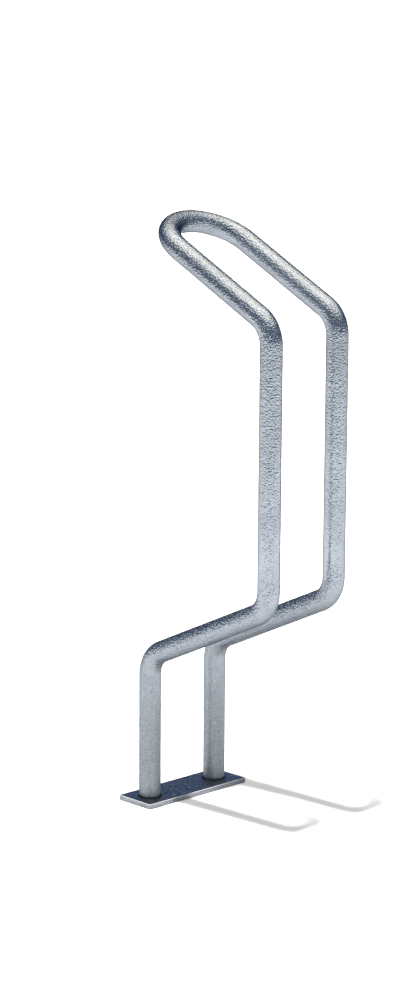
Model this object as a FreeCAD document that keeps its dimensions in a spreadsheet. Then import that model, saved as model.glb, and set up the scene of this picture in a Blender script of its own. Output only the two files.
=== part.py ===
import FreeCAD
import Part
import math
import os
import Sketcher

Vector = FreeCAD.Vector
Rotation = FreeCAD.Rotation
Placement = FreeCAD.Placement

# Hoop bike rack of galvanised steel pipe.
# Two mirrored pipes stand on one base plate, step forward, rise, lean back and meet in a U-bend.
# Origin: on the ground, midway between the two legs. +X: the way the pipes step forward. +Z: up.

doc = FreeCAD.newDocument("hoop_bike_rack")
sheet = doc.addObject("Spreadsheet::Sheet", "Sizes")

# All lengths in millimetres, angles in degrees.
# Pipe runs are measured between the corners where the straight centre lines cross.
SIZES = [
    ("tube_diameter", 33.7),
    ("wall_thickness", 3.2),
    ("tube_spacing", 137.5),
    ("leg_height", 222),
    ("offset_reach", 253.5),
    ("offset_rise", 119.5),
    ("upright_height", 421.5),
    ("crook_length", 212.5),
    ("crook_angle", 25.5),
    ("bend_radius", 45),
    ("plate_length", 206),
    ("plate_width", 70),
    ("plate_thickness", 8),
    ("plate_shift", 2),
    ("plate_corner", 2),
    ("plate_edge", 1),
    ("screw_mouth", 13),
    ("foot_weld_leg", 2),
    ("foot_weld_gap", 0.3),
    ("crown_gap", 2.5),
]

for row, (alias, value) in enumerate(SIZES, start=1):
    sheet.set("A" + str(row), alias)
    sheet.set("B" + str(row), str(value))
    sheet.setAlias("B" + str(row), alias)
doc.recompute()


def size(alias):
    """Value of one driving dimension."""
    return float(sheet.get(alias))


def link(target, path, expression):
    """Drives one property by a formula; a word after @ is a driving dimension."""
    target.setExpression(path, expression.replace("@", "Sizes."))


def add_body(label, place):
    """Adds a named body; place holds the formulas for where its own origin stands."""
    body = doc.addObject("PartDesign::Body", label)
    body.Label = label
    for axis, expression in place.items():
        link(body, "Placement.Base." + axis, expression)
    return body


def add_sketch(body, name, plane):
    """Adds a sketch on one of the body's own origin planes."""
    sketch = body.newObject("Sketcher::SketchObject", name)
    support = [entry for entry in body.Origin.OriginFeatures if entry.Role == plane][0]
    sketch.AttachmentSupport = (support, [""])
    sketch.MapMode = "FlatFace"
    doc.recompute()
    return sketch


def drive(sketch, constraint, expression):
    """Adds a dimension to the sketch and drives it by a formula."""
    index = sketch.addConstraint(constraint)
    link(sketch, "Constraints[" + str(index) + "]", expression)


def add_ring(sketch, centre, inner, outer, inner_rule, outer_rule):
    """Draws the two circles of a pipe section round one centre point."""
    upright = Vector(0, 0, 1)
    first = sketch.addGeometry(Part.Circle(centre, upright, outer), False)
    second = sketch.addGeometry(Part.Circle(centre, upright, inner), False)
    sketch.addConstraint(Sketcher.Constraint("Coincident", second, 3, first, 3))
    drive(sketch, Sketcher.Constraint("Radius", first, outer), outer_rule)
    drive(sketch, Sketcher.Constraint("Radius", second, inner), inner_rule)
    return first


def add_polygon(sketch, corners):
    """Draws a closed outline of straight lines through the corners and returns its lines."""
    lines = []
    for start, end in zip(corners, corners[1:] + corners[:1]):
        lines.append(sketch.addGeometry(Part.LineSegment(start, end), False))
    for number, line in enumerate(lines):
        after = lines[(number + 1) % len(lines)]
        sketch.addConstraint(Sketcher.Constraint("Coincident", line, 2, after, 1))
    return lines


def edges_where(feature, test):
    """Names of the feature's edges that pass a test."""
    names = []
    for number, edge in enumerate(feature.Shape.Edges, start=1):
        if test(edge):
            names.append("Edge" + str(number))
    if not names:
        raise RuntimeError("no edge found on " + feature.Name)
    return names


def draw_pipe_run(sketch):
    """Centre line of one pipe from its foot to the start of the U-bend."""
    radius = size("bend_radius")
    lean = math.radians(size("crook_angle"))
    slope = math.atan2(size("offset_rise"), size("offset_reach"))
    low_tangent = radius * math.tan((math.pi / 2 - slope) / 2)
    top_tangent = radius * math.tan((math.pi / 2 - lean) / 2)

    foot = Vector(0, 0, 0)
    knee = Vector(0, size("leg_height"), 0)
    elbow = knee + Vector(size("offset_reach"), size("offset_rise"), 0)
    shoulder = elbow + Vector(0, size("upright_height"), 0)
    up = Vector(0, 1, 0)
    out = Vector(math.cos(slope), math.sin(slope), 0)
    back = Vector(-math.cos(lean), math.sin(lean), 0)
    crook_end = shoulder + back * size("crook_length")

    knee_in = knee - up * low_tangent
    knee_out = knee + out * low_tangent
    elbow_in = elbow - out * low_tangent
    elbow_out = elbow + up * low_tangent
    shoulder_in = shoulder - up * top_tangent
    shoulder_out = shoulder + back * top_tangent

    def bend(centre, start, end):
        circle = Part.Circle(centre, Vector(0, 0, 1), radius)
        return Part.ArcOfCircle(circle, start, end)

    knee_bend = bend(knee_in + Vector(radius, 0, 0), math.pi / 2 + slope, math.pi)
    elbow_bend = bend(elbow_out - Vector(radius, 0, 0), slope - math.pi / 2, 0)
    shoulder_bend = bend(shoulder_in - Vector(radius, 0, 0), 0, math.pi / 2 - lean)

    leg = sketch.addGeometry(Part.LineSegment(foot, knee_in), False)
    first = sketch.addGeometry(knee_bend, False)
    step = sketch.addGeometry(Part.LineSegment(knee_out, elbow_in), False)
    second = sketch.addGeometry(elbow_bend, False)
    upright = sketch.addGeometry(Part.LineSegment(elbow_out, shoulder_in), False)
    third = sketch.addGeometry(shoulder_bend, False)
    crook = sketch.addGeometry(Part.LineSegment(shoulder_out, crook_end), False)
    knee_mark = sketch.addGeometry(Part.Point(knee), True)
    elbow_mark = sketch.addGeometry(Part.Point(elbow), True)
    shoulder_mark = sketch.addGeometry(Part.Point(shoulder), True)

    join = Sketcher.Constraint
    sketch.addConstraint(join("Coincident", leg, 1, -1, 1))
    sketch.addConstraint(join("Tangent", leg, 2, first, 2))
    sketch.addConstraint(join("Tangent", first, 1, step, 1))
    sketch.addConstraint(join("Tangent", step, 2, second, 1))
    sketch.addConstraint(join("Tangent", second, 2, upright, 1))
    sketch.addConstraint(join("Tangent", upright, 2, third, 1))
    sketch.addConstraint(join("Tangent", third, 2, crook, 1))
    sketch.addConstraint(join("Vertical", leg))
    sketch.addConstraint(join("Vertical", upright))
    for mark, lower, upper in (
        (knee_mark, leg, step),
        (elbow_mark, step, upright),
        (shoulder_mark, upright, crook),
    ):
        sketch.addConstraint(join("PointOnObject", mark, 1, lower))
        sketch.addConstraint(join("PointOnObject", mark, 1, upper))
    for arc in (first, second, third):
        drive(sketch, join("Radius", arc, radius), "@bend_radius")

    drive(sketch, join("DistanceY", -1, 1, knee_mark, 1, knee.y), "@leg_height")
    drive(sketch, join("DistanceX", knee_mark, 1, elbow_mark, 1, elbow.x), "@offset_reach")
    drive(sketch, join("DistanceY", knee_mark, 1, elbow_mark, 1, elbow.y - knee.y), "@offset_rise")
    rise = shoulder.y - elbow.y
    drive(sketch, join("DistanceY", elbow_mark, 1, shoulder_mark, 1, rise), "@upright_height")
    reach = shoulder.x - crook_end.x
    rise = crook_end.y - shoulder.y
    run_back = "@crook_length * cos(@crook_angle * 1 deg)"
    run_up = "@crook_length * sin(@crook_angle * 1 deg)"
    drive(sketch, join("DistanceX", crook, 2, shoulder_mark, 1, reach), run_back)
    drive(sketch, join("DistanceY", shoulder_mark, 1, crook, 2, rise), run_up)


def build_bent_tube(label, side):
    """One bent pipe: leg, forward step, upright, crook and a quarter turn of the U-bend."""
    sign = "-" if side < 0 else ""
    body = add_body(label, {"y": sign + "@tube_spacing / 2", "z": "@plate_thickness"})
    outer = size("tube_diameter") / 2
    inner = outer - size("wall_thickness")
    outer_rule = "@tube_diameter / 2"
    inner_rule = "@tube_diameter / 2 - @wall_thickness"

    run = add_sketch(body, label + "_run", "XZ_Plane")
    draw_pipe_run(run)
    section = add_sketch(body, label + "_section", "XY_Plane")
    ring = add_ring(section, Vector(0, 0, 0), inner, outer, inner_rule, outer_rule)
    section.addConstraint(Sketcher.Constraint("Coincident", ring, 3, -1, 1))
    doc.recompute()

    pipe = body.newObject("PartDesign::AdditivePipe", label + "_pipe")
    pipe.Profile = section
    pipe.Spine = (run, [])
    doc.recompute()

    # The U-bend lies in the plane of the two crooks and turns about the middle of the rack.
    turn = add_sketch(body, label + "_turn_section", "YZ_Plane")
    turn.AttachmentOffset = Placement(Vector(0, 0, 0), Rotation(Vector(1, 0, 0), 1))
    link(turn, "AttachmentOffset.Base.x", ("" if side < 0 else "-") + "@tube_spacing / 2")
    lean = "@crook_angle * 1 deg"
    rise = "@leg_height + @offset_rise + @upright_height + @crook_length * sin(" + lean + ")"
    reach = "@offset_reach - @crook_length * cos(" + lean + ")"
    link(turn, "AttachmentOffset.Base.y", rise)
    link(turn, "AttachmentOffset.Base.z", reach)
    link(turn, "AttachmentOffset.Rotation.Angle", "@crook_angle")
    half_spacing = size("tube_spacing") / 2
    centre = Vector(side * half_spacing, 0, 0)
    ring = add_ring(turn, centre, inner, outer, inner_rule, outer_rule)
    turn.addConstraint(Sketcher.Constraint("PointOnObject", ring, 3, -1))
    if side < 0:
        across = Sketcher.Constraint("DistanceX", ring, 3, -1, 1, half_spacing)
    else:
        across = Sketcher.Constraint("DistanceX", -1, 1, ring, 3, half_spacing)
    drive(turn, across, "@tube_spacing / 2")
    doc.recompute()

    bend = body.newObject("PartDesign::Revolution", label + "_turn")
    bend.Profile = turn
    bend.ReferenceAxis = (turn, ["V_Axis"])
    bend.Reversed = side < 0
    bend.Angle = 90
    doc.recompute()

    # Both pipe ends are sawn back from the middle of the rack to leave the root gap of the weld.
    trim = add_sketch(body, label + "_trim", "XZ_Plane")
    link(trim, "AttachmentOffset.Base.z", ("-" if side < 0 else "") + "@tube_spacing / 2")
    cover = size("tube_diameter")
    circle = Part.Circle(Vector(0, half_spacing, 0), Vector(0, 0, 1), cover)
    disc = trim.addGeometry(circle, False)
    drive(trim, Sketcher.Constraint("Radius", disc, cover), "@tube_diameter")
    peak = size("leg_height") + size("offset_rise") + size("upright_height")
    peak = peak + (size("crook_length") + half_spacing) * math.sin(math.radians(size("crook_angle")))
    rise = "@leg_height + @offset_rise + @upright_height"
    rise = rise + " + (@crook_length + @tube_spacing / 2) * sin(" + lean + ")"
    drive(trim, Sketcher.Constraint("DistanceY", -1, 1, disc, 3, peak), rise)
    front = size("offset_reach")
    front = front - (size("crook_length") + half_spacing) * math.cos(math.radians(size("crook_angle")))
    reach = "@offset_reach - (@crook_length + @tube_spacing / 2) * cos(" + lean + ")"
    drive(trim, Sketcher.Constraint("DistanceX", -1, 1, disc, 3, front), reach)
    doc.recompute()

    cut = body.newObject("PartDesign::Pocket", label + "_cut")
    cut.Profile = trim
    cut.Reversed = side < 0
    link(cut, "Length", "@crown_gap / 2")
    doc.recompute()
    return body


def build_base_plate():
    """Flat bar with rounded corners, broken edges and two tapped holes under the pipe bores."""
    body = add_body("base_plate", {"x": "@plate_shift"})
    half_width = size("plate_width") / 2
    half_length = size("plate_length") / 2
    outline = add_sketch(body, "plate_outline", "XY_Plane")
    corners = [
        Vector(-half_width, -half_length, 0),
        Vector(half_width, -half_length, 0),
        Vector(half_width, half_length, 0),
        Vector(-half_width, half_length, 0),
    ]
    sides = add_polygon(outline, corners)
    outline.addConstraint(Sketcher.Constraint("Horizontal", sides[0]))
    outline.addConstraint(Sketcher.Constraint("Horizontal", sides[2]))
    outline.addConstraint(Sketcher.Constraint("Vertical", sides[1]))
    outline.addConstraint(Sketcher.Constraint("Vertical", sides[3]))
    outline.addConstraint(Sketcher.Constraint("Symmetric", sides[0], 1, sides[1], 2, -1, 1))
    width = Sketcher.Constraint("DistanceX", sides[0], 1, sides[0], 2, 2 * half_width)
    drive(outline, width, "@plate_width")
    length = Sketcher.Constraint("DistanceY", sides[1], 1, sides[1], 2, 2 * half_length)
    drive(outline, length, "@plate_length")
    doc.recompute()

    pad = body.newObject("PartDesign::Pad", "plate_pad")
    pad.Profile = outline
    link(pad, "Length", "@plate_thickness")
    doc.recompute()

    corner = body.newObject("PartDesign::Fillet", "plate_corners")

    def is_upright(edge):
        return abs(edge.tangentAt(edge.FirstParameter).z) > 0.99

    corner.Base = (pad, edges_where(pad, is_upright))
    link(corner, "Radius", "@plate_corner")
    doc.recompute()

    rim = body.newObject("PartDesign::Chamfer", "plate_rims")

    def is_rim(edge):
        return abs(edge.tangentAt(edge.FirstParameter).z) < 0.01

    rim.Base = (corner, edges_where(corner, is_rim))
    link(rim, "Size", "@plate_edge")
    doc.recompute()

    marks = add_sketch(body, "screw_marks", "XY_Plane")
    half_spacing = size("tube_spacing") / 2
    shift = size("plate_shift")
    drill = 5.1
    holes = []
    for side in (-1, 1):
        circle = Part.Circle(Vector(-shift, side * half_spacing, 0), Vector(0, 0, 1), drill)
        holes.append(marks.addGeometry(circle, False))
        drive(marks, Sketcher.Constraint("Radius", holes[-1], drill), str(drill))
        across = Sketcher.Constraint("DistanceX", holes[-1], 3, -1, 1, shift)
        drive(marks, across, "@plate_shift")
    below = Sketcher.Constraint("DistanceY", holes[0], 3, -1, 1, half_spacing)
    above = Sketcher.Constraint("DistanceY", -1, 1, holes[1], 3, half_spacing)
    drive(marks, below, "@tube_spacing / 2")
    drive(marks, above, "@tube_spacing / 2")
    doc.recompute()

    screw = body.newObject("PartDesign::Hole", "screw_holes")
    screw.Profile = marks
    doc.recompute()
    screw.Reversed = True
    screw.DepthType = "ThroughAll"
    screw.Threaded = True
    screw.ThreadType = "ISOMetricProfile"
    screw.ThreadSize = "M12x1.75"
    screw.HoleCutType = "Countersink"
    screw.HoleCutCustomValues = True
    screw.HoleCutCountersinkAngle = 90
    link(screw, "HoleCutDiameter", "@screw_mouth")
    doc.recompute()
    return body


def build_foot_weld(label, side):
    """Flat-faced fillet bead round the foot of one leg, resting on the plate."""
    sign = "-" if side < 0 else ""
    body = add_body(label, {"y": sign + "@tube_spacing / 2", "z": "@plate_thickness"})
    section = add_sketch(body, label + "_section", "XZ_Plane")
    inside = size("tube_diameter") / 2 + size("foot_weld_gap")
    leg = size("foot_weld_leg")
    root = Vector(inside, 0, 0)
    toe = Vector(inside + leg, 0, 0)
    crest = Vector(inside, leg, 0)
    floor, _, wall = add_polygon(section, [root, toe, crest])
    join = Sketcher.Constraint
    section.addConstraint(join("PointOnObject", floor, 1, -1))
    section.addConstraint(join("Horizontal", floor))
    section.addConstraint(join("Vertical", wall))
    drive(section, join("DistanceX", -1, 1, floor, 1, inside), "@tube_diameter / 2 + @foot_weld_gap")
    drive(section, join("DistanceX", floor, 1, floor, 2, leg), "@foot_weld_leg")
    drive(section, join("DistanceY", wall, 2, wall, 1, leg), "@foot_weld_leg")
    doc.recompute()

    bead = body.newObject("PartDesign::Revolution", label + "_bead")
    bead.Profile = section
    bead.ReferenceAxis = (section, ["V_Axis"])
    bead.Angle = 360
    doc.recompute()
    return body


def build_crown_weld():
    """Ring of weld metal between the two pipe ends at the top of the U-bend, ground flush with them."""
    lean = "@crook_angle * 1 deg"
    run = "(@crook_length + @tube_spacing / 2)"
    rise = "@plate_thickness + @leg_height + @offset_rise + @upright_height"
    rise = rise + " + " + run + " * sin(" + lean + ")"
    reach = "@offset_reach - " + run + " * cos(" + lean + ")"
    body = add_body("crown_weld", {"x": reach, "z": rise})
    section = add_sketch(body, "crown_section", "YZ_Plane")
    half_gap = size("crown_gap") / 2
    outer = size("tube_diameter") / 2
    inner = outer - size("wall_thickness")
    corners = [
        Vector(-half_gap, inner, 0),
        Vector(half_gap, inner, 0),
        Vector(half_gap, outer, 0),
        Vector(-half_gap, outer, 0),
    ]
    root, right, cap, left = add_polygon(section, corners)
    join = Sketcher.Constraint
    section.addConstraint(join("Symmetric", root, 1, root, 2, -2))
    section.addConstraint(join("Vertical", right))
    section.addConstraint(join("Vertical", left))
    section.addConstraint(join("Horizontal", cap))
    drive(section, join("DistanceX", root, 1, root, 2, 2 * half_gap), "@crown_gap")
    wall = "@tube_diameter / 2 - @wall_thickness"
    drive(section, join("DistanceY", -1, 1, root, 1, inner), wall)
    drive(section, join("DistanceY", -1, 1, cap, 1, outer), "@tube_diameter / 2")
    doc.recompute()

    ring = body.newObject("PartDesign::Revolution", "crown_ring")
    ring.Profile = section
    ring.ReferenceAxis = (section, ["H_Axis"])
    ring.Angle = 360
    doc.recompute()
    return body


parts = [
    build_base_plate(),
    build_bent_tube("left_bent_tube", -1),
    build_bent_tube("right_bent_tube", 1),
    build_foot_weld("left_foot_weld", -1),
    build_foot_weld("right_foot_weld", 1),
    build_crown_weld(),
]
doc.recompute()

for item in doc.Objects:
    if "Invalid" in item.State or "Error" in item.State:
        raise RuntimeError(item.Name + " did not build")

os.makedirs("parts", exist_ok=True)
for part in parts:
    solid = part.Shape
    if solid.isNull() or not solid.isValid():
        raise RuntimeError(part.Label + " has no valid shape")
    solid.exportStep("parts/" + part.Label + ".step")
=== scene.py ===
import math
from collections import namedtuple

import bmesh
import bpy
import numpy as np
from bpy.props import FloatProperty, FloatVectorProperty, IntProperty, PointerProperty
from mathutils import Matrix, Vector, noise
from mathutils.geometry import delaunay_2d_cdt


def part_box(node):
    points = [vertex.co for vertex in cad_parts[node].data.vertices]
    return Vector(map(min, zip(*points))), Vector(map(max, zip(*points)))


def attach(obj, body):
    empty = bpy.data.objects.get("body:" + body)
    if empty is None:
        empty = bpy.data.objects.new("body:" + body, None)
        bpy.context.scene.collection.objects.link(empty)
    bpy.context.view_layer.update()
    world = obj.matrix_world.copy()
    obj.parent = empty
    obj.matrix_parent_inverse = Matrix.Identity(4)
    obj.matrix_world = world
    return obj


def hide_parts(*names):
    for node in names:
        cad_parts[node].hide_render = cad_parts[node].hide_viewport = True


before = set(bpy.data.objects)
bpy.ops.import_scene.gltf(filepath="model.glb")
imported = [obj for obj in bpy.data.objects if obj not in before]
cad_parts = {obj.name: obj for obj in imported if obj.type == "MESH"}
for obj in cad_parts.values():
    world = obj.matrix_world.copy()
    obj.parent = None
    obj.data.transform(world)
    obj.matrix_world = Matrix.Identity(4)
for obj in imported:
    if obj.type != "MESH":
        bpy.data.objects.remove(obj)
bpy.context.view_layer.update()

bl_info = {
    "name": "Hoop Bike Rack",
    "version": (1, 0, 0),
    "blender": (4, 5, 0),
    "location": "View3D > Sidebar > Bike Rack",
    "description": "Dresses the hoop bike rack in hot-dip galvanised steel and sets up its studio",
    "category": "Object",
}

MM = 0.001
BODY = "root"
PLATE_LOW, PLATE_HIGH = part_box("base_plate")
# Which way along y each tube stands from the rack's middle plane.
SIDES = {"left": -1, "right": 1}
Y_AXIS = np.array([0.0, 1.0, 0.0])


# Settings of the view and the studio

# The photographed view: the point looked at and the distance to it, in metres; then, in
# radians, the camera's turn round the rack, its rise over the level and its roll. The lens
# and the film are in millimetres, and what it can see starts and ends in metres.
CAMERA_TARGET = (0.190309, -0.148609, 0.517625)
CAMERA_DISTANCE = 4.685275
CAMERA_TURN = -0.7669506
CAMERA_RISE = 0.2181417
CAMERA_ROLL = 0.0064782
CAMERA_LENS = 116.147
CAMERA_FILM = 36
CAMERA_SEES = (0.1, 500)

# The lamp is far off and almost straight overhead. It leans to the left tube's side by this
# slope. Its width, in degrees, softens the shadows' edges. Its colour is linear. Its place is
# only where it is drawn, and changes no light.
LAMP_STRENGTH = 5.8
LAMP_WIDTH = 3.9
LAMP_LEAN = 0.156
LAMP_COLOUR = (1.0, 0.985, 0.96)
LAMP_PLACE = (0.0, -0.5, 3.0)

# The studio round the rack: a low dark surround under a wide bright ceiling, whose brightest
# place is a little off the zenith. Each stop is a height in degrees, with its colour, and the
# level is how bright they all are.
STUDIO_LEVEL = 1.8
STUDIO_CEILING_AXIS = (-0.0895, 0.1066, 0.9903)
STUDIO_STOPS = (
    (0.0, "#454E5A"),
    (12.0, "#454E5A"),
    (20.0, "#4F5863"),
    (30.0, "#596169"),
    (38.0, "#6A7077"),
    (46.0, "#A1A2A3"),
    (54.0, "#D3CDC4"),
    (62.0, "#E1D9CD"),
    (70.0, "#F1E8DA"),
    (80.0, "#FFF5E5"),
    (90.0, "#FFF8EB"),
)
# Under the horizon the studio is pale up to the first of these shares of the way from the
# lowest point to the highest, and has the surround's colour from the second.
STUDIO_BELOW = "#D8D8D8"
STUDIO_BELOW_TO = (0.40, 0.41)
# A dark blue panel stands behind the rack, as the camera sees it. Its ends and its top fade
# between two cosines from the way it stands and between two heights.
STUDIO_PANEL_WAY = (-0.7193, 0.6947, 0.0)
STUDIO_PANEL_TOP = (0.57, 0.65)
STUDIO_PANEL_ENDS = (0.40, 0.80)
STUDIO_PANEL_COLOUR = "#384860"
# Share of the studio's brightness that reaches matt surfaces, such as the floor, as light.
STUDIO_MATT_SHARE = 0.50

# The floor: its radius in metres, its sides, and how far it lies under the plate, so that the
# two faces never flicker.
FLOOR_RADIUS = 90.0
FLOOR_SIDES = 96
FLOOR_DROP = 0.1 * MM
# The extra white that the camera sees of the floor, which lightens the shadows on it, and its
# colour.
FLOOR_CAMERA_GLOW = 0.31
FLOOR_GLOW_COLOUR = "#FAFCFF"
# The share of the floor's light that the metal mirrors, and a painted sheen, a glow that only
# the metal sees on the floor at a shallow angle: the higher the power, the closer to the
# horizon it keeps.
FLOOR_MIRRORED_SHARE = 0.495
FLOOR_PAINTED_SHEEN = 0.47
FLOOR_PAINTED_SHEEN_POWER = 3.0
# Where the painted pool of light round the rack, which only the metal mirrors, starts and ends
# to fade, in metres from the rack, and the share of it that is lost far away.
FLOOR_PAINTED_POOL_TO = (1.6, 9.0)
FLOOR_PAINTED_POOL_LOSS = 0.62


# Settings of the finishes

# Soft patches of the zinc, in millimetres across, and how much they change its roughness.
PATCH_SIZE = 45
PATCH_ROUGHNESS = (-0.03, 0.05)
# The greyer zinc of the patches on the plate and the welds, as a share of the zinc's colour.
PATCH_SHADE = 0.85
# A noise texture's values mostly lie between these. The patches' colours use a little less.
NOISE_SPAN = (0.3, 0.7)
PATCH_SPAN = (0.32, 0.68)
# How much rougher the zinc is where it is fully dulled, and how much painted shade darkens
# the dimples' hollows and painted highlight lightens their tops there.
DULLED_ROUGHNESS = 0.36
DIMPLE_PAINTED_SHADE = 0.15
# Heights in metres, lower than any of the rack, for a finish with no dulling or painted shade.
NOT_DULLED_OR_SHADED = (-1.0, -0.5)
# The zinc's colour at a shallow angle. On the tubes and the welds it is darker, which draws a
# thin dark line along a tube's edges. On the plate it is almost plain.
EDGE_TINT = "#888C94"
PLATE_EDGE_TINT = "#F2F8FF"
# Share of their full depth that the zinc's dimples have at each height in metres. The zinc
# drained down the rack as it left the bath: it lies roughest over the step, smoothest just
# over the elbows, and rougher again towards the crown.
RELIEF_STOPS = (
    (0.0, 0.35), (0.20, 0.35), (0.26, 0.78), (0.345, 0.78), (0.40, 0.25), (0.75, 0.5),
    (0.82, 0.575),
)

# How the zinc lies on a piece: the heights in metres between which the dulling and the
# painted shade at its foot fade out, its roughness, the size and full depth of its dimples in
# millimetres, the size of its grains in millimetres and how much lighter or darker one may be,
# and its colour at a shallow angle.
ZincFinish = namedtuple(
    "ZincFinish",
    "dulled_between roughness dimple_size dimple_depth grain_size grain_contrast edge_tint",
)
TUBE_FINISH = ZincFinish((0.08, 0.33), 0.12, 2.4, 2.20, 1.8, 0.10, EDGE_TINT)
CROWN_FINISH = TUBE_FINISH._replace(dulled_between=NOT_DULLED_OR_SHADED)
PLATE_FINISH = ZincFinish(NOT_DULLED_OR_SHADED, 0.14, 2.6, 2.6, 2.4, 0.30, PLATE_EDGE_TINT)
WELD_FINISH = ZincFinish(NOT_DULLED_OR_SHADED, 0.52, 1.6, 0.60, 2.0, 0.20, EDGE_TINT)

# A painted highlight along the plate's upper edge, pale satin zinc for the bright line that
# the edge mirrors: the length of its uneven stretches in millimetres, the least and the most
# of its roughness and of its brightness, and how metallic it still looks.
EDGE_HIGHLIGHT_LENGTH = 12
EDGE_HIGHLIGHT_ROUGHNESS = (0.30, 0.45)
EDGE_HIGHLIGHT_BRIGHTNESS = (0.85, 1.0)
EDGE_HIGHLIGHT_METALLIC = 0.25


# Settings of the meshes

# The zinc's soft waves: a finer and a broader wave added up, each with its share of the
# height. The broad one's scale is a share of the fine one's, and it is moved off by this much.
FINE_WAVE = 0.75
BROAD_WAVE = 0.5
BROAD_SCALE = 0.31
BROAD_OFFSET = Vector((7.3, 1.9, 4.1))
# The largest share of the waves' height that a tube's mesh takes: where the relief is deeper,
# the dimples alone show it. The waves fade out over the last rings at each end.
WAVE_LIMIT = 0.5
WAVE_FADE_RINGS = 4
# The plate's waves are lower and longer than a tube's.
PLATE_WAVE_HEIGHT = 0.25
PLATE_WAVE_LENGTH = 1.3
# A bore has no waves, so its rings of faces are this many times as long.
BORE_STEPS = 6

# The fillet weld's section: how far out from the tube, and how high over the plate, in weld
# legs. It is sunk into the tube a little, and its toes are thin.
FILLET_SECTION = (
    (-0.15, 0.0), (-0.15, 0.97), (0.02, 1.0), (0.12, 0.93), (0.24, 0.80), (0.37, 0.66),
    (0.50, 0.53), (0.64, 0.39), (0.78, 0.25), (0.90, 0.12), (1.0, 0.03), (1.0, 0.0),
)
FILLET_SIDES = 240
# Its ripples' height in weld legs, how far they lean down the bead, in radians, and the height
# over which they start.
FILLET_RIPPLE = 0.05
FILLET_LEAN = 2.2
FILLET_RIPPLE_FROM = 0.05
# How much its size varies round the foot, how fast, and where in the noise that is read.
FILLET_UNEVEN = 0.10
FILLET_UNEVEN_SCALE = 3.1
FILLET_UNEVEN_OFFSET = 5.0

# The crown weld's faces across and round the joint, how far its toes are sunk into the tubes,
# and its ripples' share of the bead's height and lean across it in radians.
CROWN_STEPS = 12
CROWN_SIDES = 288
CROWN_SINK = 0.03 * MM
CROWN_RIPPLE = 0.12
CROWN_LEAN = 1.5

# The base plate: its faces' size, the least distance of its inner points from an edge, the
# faces round a corner and round a hole, the heights of the extra rings on its sides as shares
# of its thickness, and the layers of faces down a thread. Its waves reach points within this
# depth of its top.
PLATE_STEP = 2.4 * MM
PLATE_MARGIN = 1.4 * MM
CORNER_STEPS = 6
HOLE_SIDES = 48
SIDE_RINGS = (0.66, 0.33)
THREAD_LAYERS = 40
PLATE_WAVE_DEPTH = 0.1 * MM
# The share of a step that is only a rounding error, and the distance in metres under which
# two points of a flat face are one.
STEP_TOLERANCE = 1e-6
SAME_POINT = 1e-7


def linear(text):
    """An sRGB hex colour as linear red, green and blue, and 1 for its alpha."""
    parts = [int(text[i : i + 2], 16) / 255 for i in (1, 3, 5)]
    return tuple(
        c / 12.92 if c <= 0.04045 else ((c + 0.055) / 1.055) ** 2.4 for c in parts
    ) + (1.0,)


def colour_property(name, description, text):
    """A colour that a user can change, with its hex default."""
    return FloatVectorProperty(
        name=name, description=description, default=linear(text)[:3],
        subtype="COLOR", size=3, min=0.0, max=1.0,
    )


def length_property(name, description, millimetres):
    """A length that a user can change, with its default in millimetres."""
    return FloatProperty(
        name=name, description=description, default=millimetres * MM,
        min=0.0, subtype="DISTANCE", unit="LENGTH", precision=5,
    )


class BikeRackSizes(bpy.types.PropertyGroup):
    """Sizes of the hoop bike rack."""

    tube_diameter: length_property(
        "Tube diameter", "Outside diameter of the bent steel tube", 33.7)
    tube_wall: length_property("Tube wall", "Wall thickness of the tube", 3.2)
    tube_spacing: length_property(
        "Tube spacing", "Distance between the two legs' centrelines", 137.5)
    leg_height: length_property(
        "Leg height", "From the plate's top to the knee's corner point", 222.0)
    offset_reach: length_property(
        "Offset reach", "How far the step carries the upright forward", 253.5)
    offset_rise: length_property("Offset rise", "How much the step climbs on its way", 119.5)
    upright_height: length_property(
        "Upright height", "From the elbow's to the shoulder's corner point", 421.5)
    crook_length: length_property(
        "Crook length", "From the shoulder's corner point to the U-bend", 212.5)
    crook_angle: FloatProperty(
        name="Crook angle", description="Climb of the crook above the level",
        default=math.radians(25.5), subtype="ANGLE", unit="ROTATION",
    )
    bend_radius: length_property(
        "Bend radius", "Centreline radius of knee, elbow and shoulder", 45.0)
    saw_gap: length_property(
        "Crown gap", "Gap between the sawn ends that the crown weld fills", 2.5)
    crown_bead: length_property("Crown bead", "Height of the crown weld over the tube", 0.25)
    crown_toe: length_property("Crown toe", "How far the crown weld runs onto each tube", 0.5)
    weld_leg: length_property(
        "Foot weld leg", "Leg length of the fillet weld round each foot", 2.0)
    weld_ripple: length_property(
        "Weld ripple", "Spacing of the ripples along a weld bead", 2.2)
    plate_corner: length_property("Plate corner", "Radius of the base plate's corners", 2.0)
    plate_edge: length_property(
        "Plate edge", "Width of the chamfer along the base plate's edges", 1.0)
    thread_minor: length_property(
        "Thread bore", "Bore diameter of the two tapped fixing holes", 10.2)
    thread_depth: length_property("Thread depth", "Depth of the thread's grooves", 0.9)
    thread_pitch: length_property(
        "Thread pitch", "Pitch of the thread in the fixing holes", 1.75)
    thread_mouth: length_property(
        "Thread mouth", "Diameter of the countersunk mouth under the plate", 13.0)
    ripple_spacing: length_property(
        "Zinc ripple spacing", "Distance between the soft waves of the zinc", 4.6)
    ripple_height: length_property(
        "Zinc ripple height", "Full height of the soft waves of the zinc", 0.16)
    ring_step: length_property(
        "Ring step", "Distance between the rings of faces along a tube", 1.5)
    ring_sides: IntProperty(
        name="Ring sides", description="Faces round a tube", default=72, min=12)


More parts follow.
